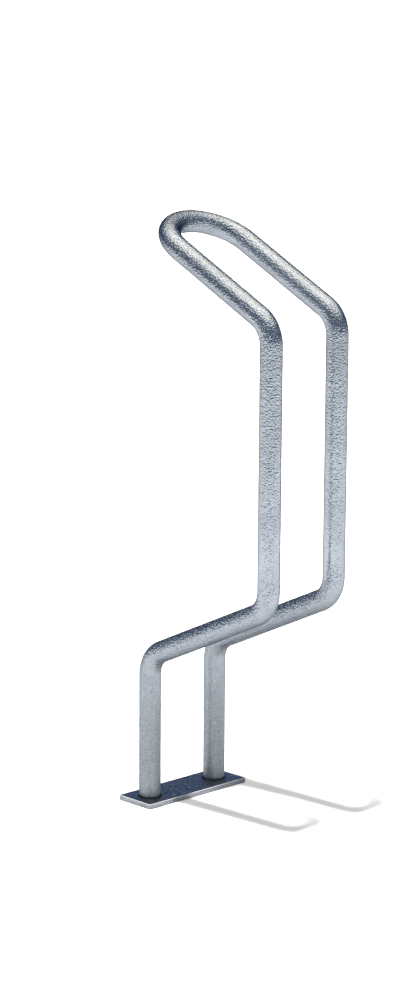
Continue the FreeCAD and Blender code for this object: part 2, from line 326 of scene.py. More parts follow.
class BikeRackColours(bpy.types.PropertyGroup):
    """Colours of the galvanised finish and of the studio floor."""

    zinc: colour_property("Zinc", "Bright zinc on the tubes", "#C4CDD8")
    zinc_shade: colour_property("Zinc shade", "Greyer zinc in the patches between", "#B9C2CD")
    # Painted shade: the zinc near the ground is drawn darker than higher up.
    zinc_foot_painted_shade: colour_property("Zinc at the foot", "Dulled zinc near the ground", "#B4BBC3")
    plate_zinc: colour_property("Plate zinc", "Zinc on the base plate", "#A5A9B1")
    # Painted highlight: the plate's upper edge is drawn pale for the bright line it mirrors.
    edge_painted_highlight: colour_property(
        "Edge zinc", "Rubbed zinc along the plate's upper edge", "#CDCFD3")
    # Partly painted shade: duller zinc, and the dark line where each tube meets the plate.
    weld_zinc_and_contact_shade: colour_property(
        "Weld zinc", "Darker, duller zinc over the foot welds", "#3E4146")
    floor: colour_property("Floor", "Pale matt studio floor", "#F0F0F0")


# Materials

# How the mix of two colours is wired: its factor, its two colours and its result.
MIX_FACTOR, MIX_A, MIX_B, MIX_RESULT = 0, 6, 7, 2


def per_metre(millimetres):
    """How many of a pattern's marks of this real size lie on a metre."""
    return 1000 / millimetres


def add_node(tree, kind, settings=None, values=None, links=None):
    """Adds one node, sets it up, fills its sockets and links them.

    A socket goes by its name, or by its number where several share a name.
    """
    made = tree.nodes.new(kind)
    for name, value in (settings or {}).items():
        setattr(made, name, value)
    for socket, value in (values or {}).items():
        made.inputs[socket].default_value = value
    for socket, source in (links or {}).items():
        tree.links.new(source, made.inputs[socket])
    return made


def set_stops(ramp, rows):
    """Gives a colour ramp these positions and colours, which are in rising order."""
    stops = ramp.color_ramp.elements
    while len(stops) < len(rows):
        stops.new(1.0)
    for stop, (position, colour) in zip(stops, rows):
        stop.position, stop.color = position, colour


def empty_material(name):
    """A material with an empty node tree."""
    made = bpy.data.materials.new(name)
    made.use_nodes = True
    made.node_tree.nodes.clear()
    return made, made.node_tree


def hot_dip_zinc(name, bright, shade, finish, dull=None):
    """Hot-dip galvanised steel: zinc that froze on the steel as it left the bath.

    To the eye it is a mid-grey metal with a blue cast, glossy enough to mirror the studio,
    broken up by small dimples, with soft patches of lighter and greyer zinc and the faint
    grains of its spangle. On the tubes it dulls near the ground, where painted shade darkens it
    and painted shade and highlight mark its dimples.
    """
    material, tree = empty_material(name)
    place = add_node(tree, "ShaderNodeTexCoord").outputs["Object"]
    height = add_node(tree, "ShaderNodeSeparateXYZ", links={0: place}).outputs["Z"]

    # Soft patches, where the zinc ran off thicker or thinner.
    patches = add_node(
        tree, "ShaderNodeTexNoise",
        values={"Scale": per_metre(PATCH_SIZE), "Detail": 3.0, "Roughness": 0.55},
        links={"Vector": place},
    ).outputs[0]
    patch_share = add_node(
        tree, "ShaderNodeMapRange",
        values={"From Min": PATCH_SPAN[0], "From Max": PATCH_SPAN[1]},
        links={"Value": patches},
    ).outputs[0]
    patch_colour = add_node(
        tree, "ShaderNodeMix", {"data_type": "RGBA"},
        {MIX_A: (*bright, 1.0), MIX_B: (*shade, 1.0)}, {MIX_FACTOR: patch_share},
    ).outputs[MIX_RESULT]

    # Dulled zinc low down, with a soft upper limit. Its darker colour there is painted shade.
    dulled_and_shaded = add_node(
        tree, "ShaderNodeMapRange", {"interpolation_type": "SMOOTHSTEP"},
        {"From Min": finish.dulled_between[0], "From Max": finish.dulled_between[1],
         "To Min": 1.0, "To Max": 0.0},
        {"Value": height},
    ).outputs[0]
    painted_shade_colour = add_node(
        tree, "ShaderNodeMix", {"data_type": "RGBA"},
        {MIX_B: (*(bright if dull is None else dull), 1.0)},
        {MIX_FACTOR: dulled_and_shaded, MIX_A: patch_colour},
    ).outputs[MIX_RESULT]

    # Dimples in the frozen zinc. Real ones are mostly finer than a millimetre: these are drawn
    # as coarse and as deep as they need to be to show in the picture.
    dimples = add_node(
        tree, "ShaderNodeTexNoise",
        values={"Scale": per_metre(finish.dimple_size), "Detail": 0.5, "Roughness": 0.5},
        links={"Vector": place},
    ).outputs[0]

    # Grain: small zinc crystals, each a little lighter or darker than the next.
    crystals = add_node(
        tree, "ShaderNodeTexVoronoi",
        values={"Scale": per_metre(finish.grain_size), "Randomness": 1.0},
        links={"Vector": place},
    ).outputs["Color"]
    crystal = add_node(tree, "ShaderNodeSeparateColor", links={0: crystals}).outputs[0]
    grain = add_node(
        tree, "ShaderNodeMapRange",
        values={"To Min": 1.0 - finish.grain_contrast, "To Max": 1.0 + finish.grain_contrast},
        links={"Value": crystal},
    ).outputs[0]

    # Where the zinc is dulled, painted shade darkens the dimples' hollows and painted highlight
    # lightens their tops.
    dimple_painted_shade = add_node(
        tree, "ShaderNodeMapRange",
        values={"From Min": NOISE_SPAN[0], "From Max": NOISE_SPAN[1],
                "To Min": 1.0 - DIMPLE_PAINTED_SHADE, "To Max": 1.0 + DIMPLE_PAINTED_SHADE},
        links={"Value": dimples},
    ).outputs[0]
    dulled_dimple_painted_shade = add_node(
        tree, "ShaderNodeMix", {"data_type": "FLOAT"}, {"A": 1.0},
        {"Factor": dulled_and_shaded, "B": dimple_painted_shade},
    ).outputs[0]
    brightness = add_node(
        tree, "ShaderNodeMath", {"operation": "MULTIPLY"}, links={0: grain, 1: dulled_dimple_painted_shade},
    ).outputs[0]
    colour = add_node(
        tree, "ShaderNodeVectorMath", {"operation": "SCALE"},
        links={0: painted_shade_colour, "Scale": brightness},
    ).outputs[0]

    # Gloss: a little rougher in the greyer patches, and rougher still where it is dulled.
    patchy = add_node(
        tree, "ShaderNodeMapRange",
        values={"From Min": NOISE_SPAN[0], "From Max": NOISE_SPAN[1],
                "To Min": finish.roughness + PATCH_ROUGHNESS[0],
                "To Max": finish.roughness + PATCH_ROUGHNESS[1]},
        links={"Value": patches},
    ).outputs[0]
    gloss = add_node(
        tree, "ShaderNodeMath", {"operation": "MULTIPLY_ADD"}, {1: DULLED_ROUGHNESS},
        {0: dulled_and_shaded, 2: patchy},
    ).outputs[0]

    # The dimples' depth follows how the zinc drained down the rack.
    relief = add_node(tree, "ShaderNodeValToRGB", links={0: height})
    set_stops(relief, [(spot, (share, share, share, 1.0)) for spot, share in RELIEF_STOPS])
    depth = add_node(
        tree, "ShaderNodeMath", {"operation": "MULTIPLY"}, {1: finish.dimple_depth * MM},
        {0: relief.outputs[0]},
    ).outputs[0]
    dented = add_node(
        tree, "ShaderNodeBump", values={"Strength": 1.0},
        links={"Height": dimples, "Distance": depth},
    ).outputs[0]

    surface = add_node(
        tree, "ShaderNodeBsdfPrincipled",
        values={"Metallic": 1.0, "Specular Tint": linear(finish.edge_tint)},
        links={"Base Color": colour, "Roughness": gloss, "Normal": dented},
    ).outputs[0]
    add_node(tree, "ShaderNodeOutputMaterial", links={"Surface": surface})
    return material


def painted_highlight_edge(bright):
    """A painted highlight: pale satin zinc along an edge, for the bright line that it mirrors.

    To the eye it is a thin pale line between the dark top of the plate and its grey sides.
    """
    material, tree = empty_material("painted_highlight_edge")
    place = add_node(tree, "ShaderNodeTexCoord").outputs["Object"]
    # The painted highlight is uneven along the edge.
    highlight_breaks = add_node(
        tree, "ShaderNodeTexNoise", values={"Scale": per_metre(EDGE_HIGHLIGHT_LENGTH), "Detail": 2.0},
        links={"Vector": place},
    ).outputs[0]
    gloss, share = [
        add_node(
            tree, "ShaderNodeMapRange",
            values={"From Min": NOISE_SPAN[0], "From Max": NOISE_SPAN[1],
                    "To Min": least, "To Max": most},
            links={"Value": highlight_breaks},
        ).outputs[0]
        for least, most in (EDGE_HIGHLIGHT_ROUGHNESS, EDGE_HIGHLIGHT_BRIGHTNESS)
    ]
    colour = add_node(
        tree, "ShaderNodeVectorMath", {"operation": "SCALE"}, {0: tuple(bright)},
        {"Scale": share},
    ).outputs[0]
    surface = add_node(
        tree, "ShaderNodeBsdfPrincipled", values={"Metallic": EDGE_HIGHLIGHT_METALLIC},
        links={"Base Color": colour, "Roughness": gloss},
    ).outputs[0]
    add_node(tree, "ShaderNodeOutputMaterial", links={"Surface": surface})
    return material


def matt_floor_paint(white):
    """Matt white paint on a smooth floor, with soft shadows and a faint painted sheen.

    The camera sees it a little whiter than the lamp makes it, which lightens the shadows on
    it. The metal mirrors it at the level of a white floor, dimmer far away: a painted pool of
    light round the rack. The painted sheen is a glow that only the metal sees, brighter at a
    shallow angle. Seen from below it isn't there.
    """
    material, tree = empty_material("matt_floor_paint")
    ray = add_node(tree, "ShaderNodeLightPath").outputs
    mirrored = add_node(
        tree, "ShaderNodeMath", {"operation": "MAXIMUM"},
        links={0: ray["Is Glossy Ray"], 1: ray["Is Transmission Ray"]},
    ).outputs[0]
    place = add_node(tree, "ShaderNodeTexCoord").outputs["Object"]
    away = add_node(
        tree, "ShaderNodeVectorMath", {"operation": "LENGTH"}, links={0: place},
    ).outputs["Value"]
    # A painted pool of light: the floor that the metal mirrors dims far from the rack.
    painted_pool = add_node(
        tree, "ShaderNodeMapRange", {"interpolation_type": "SMOOTHSTEP"},
        {"From Min": FLOOR_PAINTED_POOL_TO[0], "From Max": FLOOR_PAINTED_POOL_TO[1],
         "To Min": 1.0, "To Max": 1.0 - FLOOR_PAINTED_POOL_LOSS},
        {"Value": away},
    ).outputs[0]
    mirrored_painted_pool = add_node(
        tree, "ShaderNodeMath", {"operation": "MULTIPLY"}, links={0: mirrored, 1: painted_pool},
    ).outputs[0]

    # What is kept of the paint's light: all of it for the camera, a share in the metal, which the
    # painted pool of light dims far away.
    kept_share = add_node(
        tree, "ShaderNodeMath", {"operation": "MULTIPLY"}, {1: FLOOR_MIRRORED_SHARE}, {0: painted_pool},
    ).outputs[0]
    kept = add_node(
        tree, "ShaderNodeMix", {"data_type": "FLOAT"}, {"A": 1.0},
        {"Factor": mirrored, "B": kept_share},
    ).outputs[0]
    shown = add_node(
        tree, "ShaderNodeMix", {"data_type": "RGBA"},
        {MIX_A: (0.0, 0.0, 0.0, 1.0), MIX_B: (*white, 1.0)}, {MIX_FACTOR: kept},
    ).outputs[MIX_RESULT]
    paint = add_node(tree, "ShaderNodeBsdfDiffuse", links={"Color": shown}).outputs[0]

    # The painted sheen, a glow that only the metal mirrors, and the extra white that the camera
    # sees.
    shallow = add_node(
        tree, "ShaderNodeLayerWeight", values={"Blend": 0.5},
    ).outputs["Facing"]
    painted_sheen = add_node(
        tree, "ShaderNodeMath", {"operation": "POWER"}, {1: FLOOR_PAINTED_SHEEN_POWER}, {0: shallow},
    ).outputs[0]
    painted_sheen_level = add_node(
        tree, "ShaderNodeMath", {"operation": "MULTIPLY"}, {1: FLOOR_PAINTED_SHEEN}, {0: painted_sheen},
    ).outputs[0]
    mirrored_painted_sheen = add_node(
        tree, "ShaderNodeMath", {"operation": "MULTIPLY"},
        links={0: painted_sheen_level, 1: mirrored_painted_pool},
    ).outputs[0]
    strength = add_node(
        tree, "ShaderNodeMath", {"operation": "MULTIPLY_ADD"}, {1: FLOOR_CAMERA_GLOW},
        {0: ray["Is Camera Ray"], 2: mirrored_painted_sheen},
    ).outputs[0]
    glow = add_node(
        tree, "ShaderNodeEmission", values={"Color": linear(FLOOR_GLOW_COLOUR)},
        links={"Strength": strength},
    ).outputs[0]
    top_side = add_node(tree, "ShaderNodeAddShader", links={0: paint, 1: glow}).outputs[0]

    clear = add_node(tree, "ShaderNodeBsdfTransparent").outputs[0]
    from_below = add_node(tree, "ShaderNodeNewGeometry").outputs["Backfacing"]
    surface = add_node(
        tree, "ShaderNodeMixShader", links={0: from_below, 1: top_side, 2: clear},
    ).outputs[0]
    add_node(tree, "ShaderNodeOutputMaterial", links={"Surface": surface})
    return material


# Mesh code


def add_piece(name, points, faces, material, smooth_degrees=50):
    """A mesh object from points in metres, smooth where its faces meet at less than this."""
    mesh = bpy.data.meshes.new(name)
    mesh.from_pydata([tuple(p) for p in points], [], faces)
    mesh.validate()
    mesh.shade_smooth()
    mesh.set_sharp_from_angle(angle=math.radians(smooth_degrees))
    mesh.materials.append(material)
    made = bpy.data.objects.new(name, mesh)
    bpy.context.scene.collection.objects.link(made)
    return made


def face_outward(made):
    """Turns the faces of a closed piece so that they all look outward."""
    work = bmesh.new()
    work.from_mesh(made.data)
    bmesh.ops.recalc_face_normals(work, faces=work.faces)
    work.to_mesh(made.data)
    work.free()


def grid_faces(rows, columns, closed_rows=False, start=0, flip=False):
    """Quads of a sheet of rows by columns that closes round its columns."""
    faces = []
    for i in range(rows if closed_rows else rows - 1):
        for j in range(columns):
            a = start + i * columns + j
            b = start + i * columns + (j + 1) % columns
            c = start + ((i + 1) % rows) * columns + (j + 1) % columns
            d = start + ((i + 1) % rows) * columns + j
            faces.append((a, d, c, b) if flip else (a, b, c, d))
    return faces


def turns(count):
    """Angles of points spread evenly round a circle, in radians."""
    return [2 * math.pi * k / count for k in range(count)]


def zinc_wave(point, spacing):
    """Height, mostly from -1 to 1, of the frozen zinc's soft waves at a point in metres."""
    spot = Vector(point) / spacing
    fine = noise.noise(spot, noise_basis="PERLIN_NEW")
    broad = noise.noise(spot * BROAD_SCALE + BROAD_OFFSET, noise_basis="PERLIN_NEW")
    return FINE_WAVE * fine + BROAD_WAVE * broad


def hoop_corners(sizes, side):
    """The corner points of one tube's centreline, foot first, and the way its crook climbs."""
    y = side * sizes.tube_spacing / 2
    foot = PLATE_HIGH[2]
    knee = foot + sizes.leg_height
    elbow = knee + sizes.offset_rise
    shoulder = elbow + sizes.upright_height
    reach = sizes.offset_reach
    crook = np.array([-math.cos(sizes.crook_angle), 0.0, math.sin(sizes.crook_angle)])
    corners = [
        np.array(spot)
        for spot in ((0.0, y, foot), (0.0, y, knee), (reach, y, elbow), (reach, y, shoulder))
    ]
    corners.append(corners[-1] + crook * sizes.crook_length)
    return corners, crook


def bend_centre(corners):
    """The U-bend's centre, on the rack's middle plane."""
    return np.array([corners[-1][0], 0.0, corners[-1][2]])


def tube_route(corners, bend_radius, step):
    """Points along the tube's centreline up to the U-bend, and the way it runs at each."""
    points, ways = [], []

    def straight(a, b):
        count = max(1, round(np.linalg.norm(b - a) / step))
        way = (b - a) / np.linalg.norm(b - a)
        for k in range(count):
            points.append(a + (b - a) * k / count)
            ways.append(way)

    here = corners[0]
    for before, corner, after in zip(corners, corners[1:], corners[2:]):
        into = (corner - before) / np.linalg.norm(corner - before)
        away = (after - corner) / np.linalg.norm(after - corner)
        turn = math.acos(np.clip(into @ away, -1.0, 1.0))
        inward = away - into * (into @ away)
        inward /= np.linalg.norm(inward)
        reach = bend_radius * math.tan(turn / 2)
        start = corner - into * reach
        straight(here, start)
        count = max(2, round(bend_radius * turn / step))
        for k in range(count):
            angle = turn * k / count
            arc = into * math.sin(angle) + inward * (1 - math.cos(angle))
            points.append(start + bend_radius * arc)
            ways.append(into * math.cos(angle) + inward * math.sin(angle))
        here = corner + away * reach
    straight(here, corners[-1])
    return points, ways


def tube_skin(sizes, side, radius, step, sides):
    """Rings of points round the tube's centreline at this radius, up to its sawn end."""
    corners, crook = hoop_corners(sizes, side)
    angles = np.linspace(0.0, 2 * math.pi, sides, endpoint=False)
    cos, sin = np.cos(angles), np.sin(angles)
    rings = []
    for centre, way in zip(*tube_route(corners, sizes.bend_radius, step)):
        out = np.cross(way, Y_AXIS)
        across = np.cross(way, out)
        rings.append(centre + radius * (cos[:, None] * out + sin[:, None] * across))

    # The U-bend turns about its centre, and its saw cut is parallel to the rack's middle
    # plane. A point's arm is how far it is from the axis that the bend turns about.
    centre = bend_centre(corners)
    out = np.cross(crook, Y_AXIS)
    bend = sizes.tube_spacing / 2
    arm = bend - side * radius * sin
    last = np.arccos(sizes.saw_gap / 2 / arm)
    count = max(2, round(bend * math.pi / 2 / step))
    for k in range(count + 1):
        angle = last * k / count
        reach = (np.cos(angle) * side)[:, None] * Y_AXIS + np.sin(angle)[:, None] * crook
        rings.append(centre + arm[:, None] * reach + (radius * cos)[:, None] * out)
    return np.array(rings)


def build_bent_tube(label, sizes, material):
    """One half of the hoop: a tube with its foot, three bends and its half of the U-bend."""
    side = SIDES[label]
    sides = sizes.ring_sides
    radius = sizes.tube_diameter / 2
    outer = tube_skin(sizes, side, radius, sizes.ring_step, sides)
    inner = tube_skin(
        sizes, side, radius - sizes.tube_wall, sizes.ring_step * BORE_STEPS, sides)

    # The zinc's soft waves, which follow its relief down the rack.
    outward = outer - outer.mean(axis=1, keepdims=True)
    outward /= np.linalg.norm(outward, axis=2, keepdims=True)
    rows = len(outer)
    to_end = np.minimum(np.arange(rows), np.arange(rows)[::-1])
    fade = np.minimum(1.0, to_end / WAVE_FADE_RINGS)
    wave = np.array([[zinc_wave(p, sizes.ripple_spacing) for p in ring] for ring in outer])
    relief = np.minimum(np.interp(outer[..., 2], *zip(*RELIEF_STOPS)), WAVE_LIMIT)
    strength = fade[:, None] * relief
    outer = outer + outward * (wave * strength * sizes.ripple_height)[..., None]

    # The skin, the bore, and the two flat ends between them.
    points = np.vstack([outer.reshape(-1, 3), inner.reshape(-1, 3)])
    bore_start = rows * sides
    bore_last = bore_start + (len(inner) - 1) * sides
    faces = grid_faces(rows, sides)
    faces += grid_faces(len(inner), sides, start=bore_start, flip=True)
    ends = ((0, bore_start, True), ((rows - 1) * sides, bore_last, False))
    for ring, bore_ring, turn_over in ends:
        for j in range(sides):
            k = (j + 1) % sides
            quad = (ring + j, ring + k, bore_ring + k, bore_ring + j)
            faces.append(quad[::-1] if turn_over else quad)
    made = add_piece(label + "_galvanised_tube", points, faces, material)
    face_outward(made)
    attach(made, BODY)
    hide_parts(label + "_bent_tube")
    return made


def build_foot_weld(label, sizes, material):
    """The fillet weld round one foot: a ring with ripples, its toes thin on tube and plate."""
    side = SIDES[label]
    centre = np.array([0.0, side * sizes.tube_spacing / 2, PLATE_HIGH[2]])
    radius = sizes.tube_diameter / 2
    leg = sizes.weld_leg
    ripple_count = round(2 * math.pi * (radius + leg / 2) / sizes.weld_ripple)
    points = []
    for out, up in FILLET_SECTION:
        belly = math.sin(math.pi * min(max(out, 0.0), 1.0))
        for turn in turns(FILLET_SIDES):
            cos, sin = math.cos(turn), math.sin(turn)
            ripple = FILLET_RIPPLE * belly * math.cos(ripple_count * turn + FILLET_LEAN * up)
            place = Vector((cos * FILLET_UNEVEN_SCALE, sin * FILLET_UNEVEN_SCALE,
                            side + FILLET_UNEVEN_OFFSET))
            swell = 1.0 + FILLET_UNEVEN * noise.noise(place)
            r = radius + leg * (out * (swell if out > 0 else 1.0) + ripple)
            z = leg * max(0.0, up * swell + (ripple if up > FILLET_RIPPLE_FROM else 0.0))
            points.append(centre + np.array([r * cos, r * sin, z]))
    faces = grid_faces(len(FILLET_SECTION), FILLET_SIDES, closed_rows=True)
    made = add_piece(label + "_fillet_weld", points, faces, material, smooth_degrees=70)
    face_outward(made)
    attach(made, BODY)
    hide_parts(label + "_foot_weld")
    return made


def build_crown_weld(sizes, material):
    """The butt weld at the top of the U-bend: a low domed bead that joins the sawn ends."""
    radius = sizes.tube_diameter / 2
    bore = radius - sizes.tube_wall
    corners, crook = hoop_corners(sizes, SIDES["right"])
    apex = bend_centre(corners) + crook * sizes.tube_spacing / 2
    out = np.cross(crook, Y_AXIS)
    half = sizes.saw_gap / 2
    wide = half + sizes.crown_toe
    ripple_count = round(2 * math.pi * radius / sizes.weld_ripple)

    def bead_radius(y, turn):
        """How far the bead's skin is from the tube's centreline."""
        share = 1 - (y / wide) ** 2
        ripple = CROWN_RIPPLE * share * math.cos(ripple_count * turn + CROWN_LEAN * y / wide)
        return radius - CROWN_SINK + sizes.crown_bead * share * (1 + ripple)

    def ring(y, radius_at):
        """Points round the joint, at this distance across it from its middle."""
        bow = y * y / sizes.tube_spacing
        made = []
        for turn in turns(CROWN_SIDES):
            r = radius_at(y, turn)
            made.append(apex + crook * (r * math.sin(turn) - bow) + out * r * math.cos(turn)
                        + Y_AXIS * y)
        return made

    # First over the bead from toe to toe, then back along its root, level with the bore.
    rows = [ring(-wide + 2 * wide * k / CROWN_STEPS, bead_radius)
            for k in range(CROWN_STEPS + 1)]
    rows += [ring(y, lambda y, turn: bore) for y in (half, -half)]
    points = np.array(rows).reshape(-1, 3)
    faces = grid_faces(len(rows), CROWN_SIDES, closed_rows=True)
    made = add_piece("crown_butt_weld", points, faces, material, smooth_degrees=60)
    face_outward(made)
    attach(made, BODY)
    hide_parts("crown_weld")
    return made


def plate_outline(corner):
    """Points round the base plate, with rounded corners and none further than a step apart."""
    low, high = PLATE_LOW, PLATE_HIGH
    points = []
    for start, (cx, cy) in enumerate((
        (high[0] - corner, high[1] - corner), (low[0] + corner, high[1] - corner),
        (low[0] + corner, low[1] + corner), (high[0] - corner, low[1] + corner),
    )):
        for k in range(CORNER_STEPS + 1):
            turn = (start + k / CORNER_STEPS) * math.pi / 2
            points.append((cx + corner * math.cos(turn), cy + corner * math.sin(turn)))
    dense = []
    for a, b in zip(points, points[1:] + points[:1]):
        count = max(1, math.ceil(math.dist(a, b) / PLATE_STEP - STEP_TOLERANCE))
        dense += [
            (a[0] + (b[0] - a[0]) * k / count, a[1] + (b[1] - a[1]) * k / count)
            for k in range(count)
        ]
    return dense


def drawn_in(outline, corner, inset):
    """The plate's outline moved inward by the inset, point by point."""
    made = []
    for x, y in outline:
        core_x = min(max(x, PLATE_LOW[0] + corner), PLATE_HIGH[0] - corner)
        core_y = min(max(y, PLATE_LOW[1] + corner), PLATE_HIGH[1] - corner)
        away = Vector((x - core_x, y - core_y))
        away.normalize()
        made.append((x - away.x * inset, y - away.y * inset))
    return made


def flat_face(outline, holes):
    """Points and triangles of a flat face with round holes, each a centre and a radius.

    The outline's points come first, then those of each hole's rim.
    """
    rims = [
        [(c[0] + r * math.cos(turn), c[1] + r * math.sin(turn)) for turn in turns(HOLE_SIDES)]
        for c, r in holes
    ]
    loops = [outline] + rims
    points = [Vector(p) for loop in loops for p in loop]
    edges, start = [], 0
    for loop in loops:
        edges += [(start + k, start + (k + 1) % len(loop)) for k in range(len(loop))]
        start += len(loop)
    xs = [p[0] for p in outline]
    ys = [p[1] for p in outline]
    left, right, near, far = min(xs), max(xs), min(ys), max(ys)
    columns = max(2, round((right - left) / PLATE_STEP))
    rows = max(2, round((far - near) / PLATE_STEP))
    # Points in rows, every other column of them moved by half a step.
    for i in range(1, columns):
        for j in range(1, rows):
            x = left + (right - left) * i / columns
            y = near + (far - near) * (j + (0.5 if i % 2 else 0.0)) / rows
            clear = min(x - left, right - x, y - near, far - y) > PLATE_MARGIN
            if clear and all(math.dist((x, y), c) > r + PLATE_MARGIN for c, r in holes):
                points.append(Vector((x, y)))
    flat, _, faces, _, _, _ = delaunay_2d_cdt(points, edges, [], 0, SAME_POINT)
    if len(flat) != len(points):
        raise RuntimeError("the base plate's flat face lost points while it was divided")
    kept = []
    for face in faces:
        x = sum(flat[i][0] for i in face) / len(face)
        y = sum(flat[i][1] for i in face) / len(face)
        if all(math.dist((x, y), c) > r for c, r in holes):
            kept.append(tuple(face))
    return [tuple(p) for p in flat], kept


def thread_radius(sizes, height, turn_share, thick, sink):
    """Radius of a tapped hole at this height over the plate's underside and share of a turn.

    The groove fades in over one pitch under the plate's top, and over half a pitch from the
    countersunk mouth up.
    """
    phase = (height / sizes.thread_pitch - turn_share) % 1.0
    groove = 1 - abs(2 * phase - 1)
    fade = min(1.0, (thick - height) / sizes.thread_pitch,
               (height - sink) / (0.5 * sizes.thread_pitch))
    return sizes.thread_minor / 2 + sizes.thread_depth * groove * max(0.0, fade)


def build_base_plate(sizes, material, edge_material):
    """The flat bar under both feet: chamfered edges, and two tapped and countersunk holes."""
    floor = PLATE_LOW[2]
    thick = PLATE_HIGH[2] - floor
    edge, corner = sizes.plate_edge, sizes.plate_corner
    bore, mouth = sizes.thread_minor / 2, sizes.thread_mouth / 2
    spots = [(0.0, side * sizes.tube_spacing / 2) for side in SIDES.values()]

    # The top face, then the bottom face.
    outline = plate_outline(corner)
    flat_outline = drawn_in(outline, corner, edge)
    top_flat, top_faces = flat_face(flat_outline, [(c, bore) for c in spots])
    low_flat, low_faces = flat_face(flat_outline, [(c, mouth) for c in spots])
    points = [(x, y, floor + thick) for x, y in top_flat]
    faces = [tuple(f) for f in top_faces]
    low_start = len(points)
    points += [(x, y, floor) for x, y in low_flat]
    faces += [tuple(reversed([low_start + i for i in f])) for f in low_faces]
    around = len(outline)

    # The sides, from the top face's edge down to the bottom face's: chamfer, side, chamfer.
    rim = [list(range(around))]
    side_heights = [thick - edge] + [thick * share for share in SIDE_RINGS] + [edge]
    for height in side_heights:
        start = len(points)
        points += [(x, y, floor + height) for x, y in outline]
        rim.append(list(range(start, start + around)))
    rim.append(list(range(low_start, low_start + around)))
    upper_chamfer = range(len(faces), len(faces) + around)
    for a, b in zip(rim, rim[1:]):
        faces += [
            (a[k], b[k], b[(k + 1) % around], a[(k + 1) % around]) for k in range(around)
        ]

    # The tapped holes: a helical thread, then the countersunk mouth.
    sides = HOLE_SIDES
    sink = mouth - bore
    for index, centre in enumerate(spots):
        top_rim = around + index * sides
        rings = [list(range(top_rim, top_rim + sides))]
        for layer in range(1, THREAD_LAYERS + 1):
            height = thick - (thick - sink) * layer / THREAD_LAYERS
            start = len(points)
            for k, turn in enumerate(turns(sides)):
                r = thread_radius(sizes, height, k / sides, thick, sink)
                points.append((centre[0] + r * math.cos(turn), centre[1] + r * math.sin(turn),
                               floor + height))
            rings.append(list(range(start, start + sides)))
        low_rim = low_start + top_rim
        rings.append(list(range(low_rim, low_rim + sides)))
        for a, b in zip(rings, rings[1:]):
            faces += [
                (a[k], a[(k + 1) % sides], b[(k + 1) % sides], b[k]) for k in range(sides)
            ]

    # The zinc's soft waves go down from the top face, but not where a tube is welded on.
    welded = sizes.tube_diameter / 2 + sizes.weld_leg
    top = floor + thick - PLATE_WAVE_DEPTH
    moved = []
    for x, y, z in points:
        if z > top and min(math.dist((x, y), c) for c in spots) > welded:
            wave = zinc_wave((x, y, z), sizes.ripple_spacing * PLATE_WAVE_LENGTH)
            z -= PLATE_WAVE_HEIGHT * sizes.ripple_height * (1 + wave)
        moved.append((x, y, z))
    made = add_piece("galvanised_base_plate", moved, faces, material, smooth_degrees=20)
    made.data.materials.append(edge_material)
    for face in upper_chamfer:
        made.data.polygons[face].material_index = 1
    face_outward(made)
    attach(made, BODY)
    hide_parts("base_plate")
    return made


# Studio


def add_floor(material):
    """A round level floor, wide enough to fill the camera's view."""
    points = [(0.0, 0.0, -FLOOR_DROP)]
    points += [(FLOOR_RADIUS * math.cos(turn), FLOOR_RADIUS * math.sin(turn), -FLOOR_DROP)
               for turn in turns(FLOOR_SIDES)]
    faces = [(0, 1 + k, 1 + (k + 1) % FLOOR_SIDES) for k in range(FLOOR_SIDES)]
    floor = add_piece("studio_floor", points, faces, material)


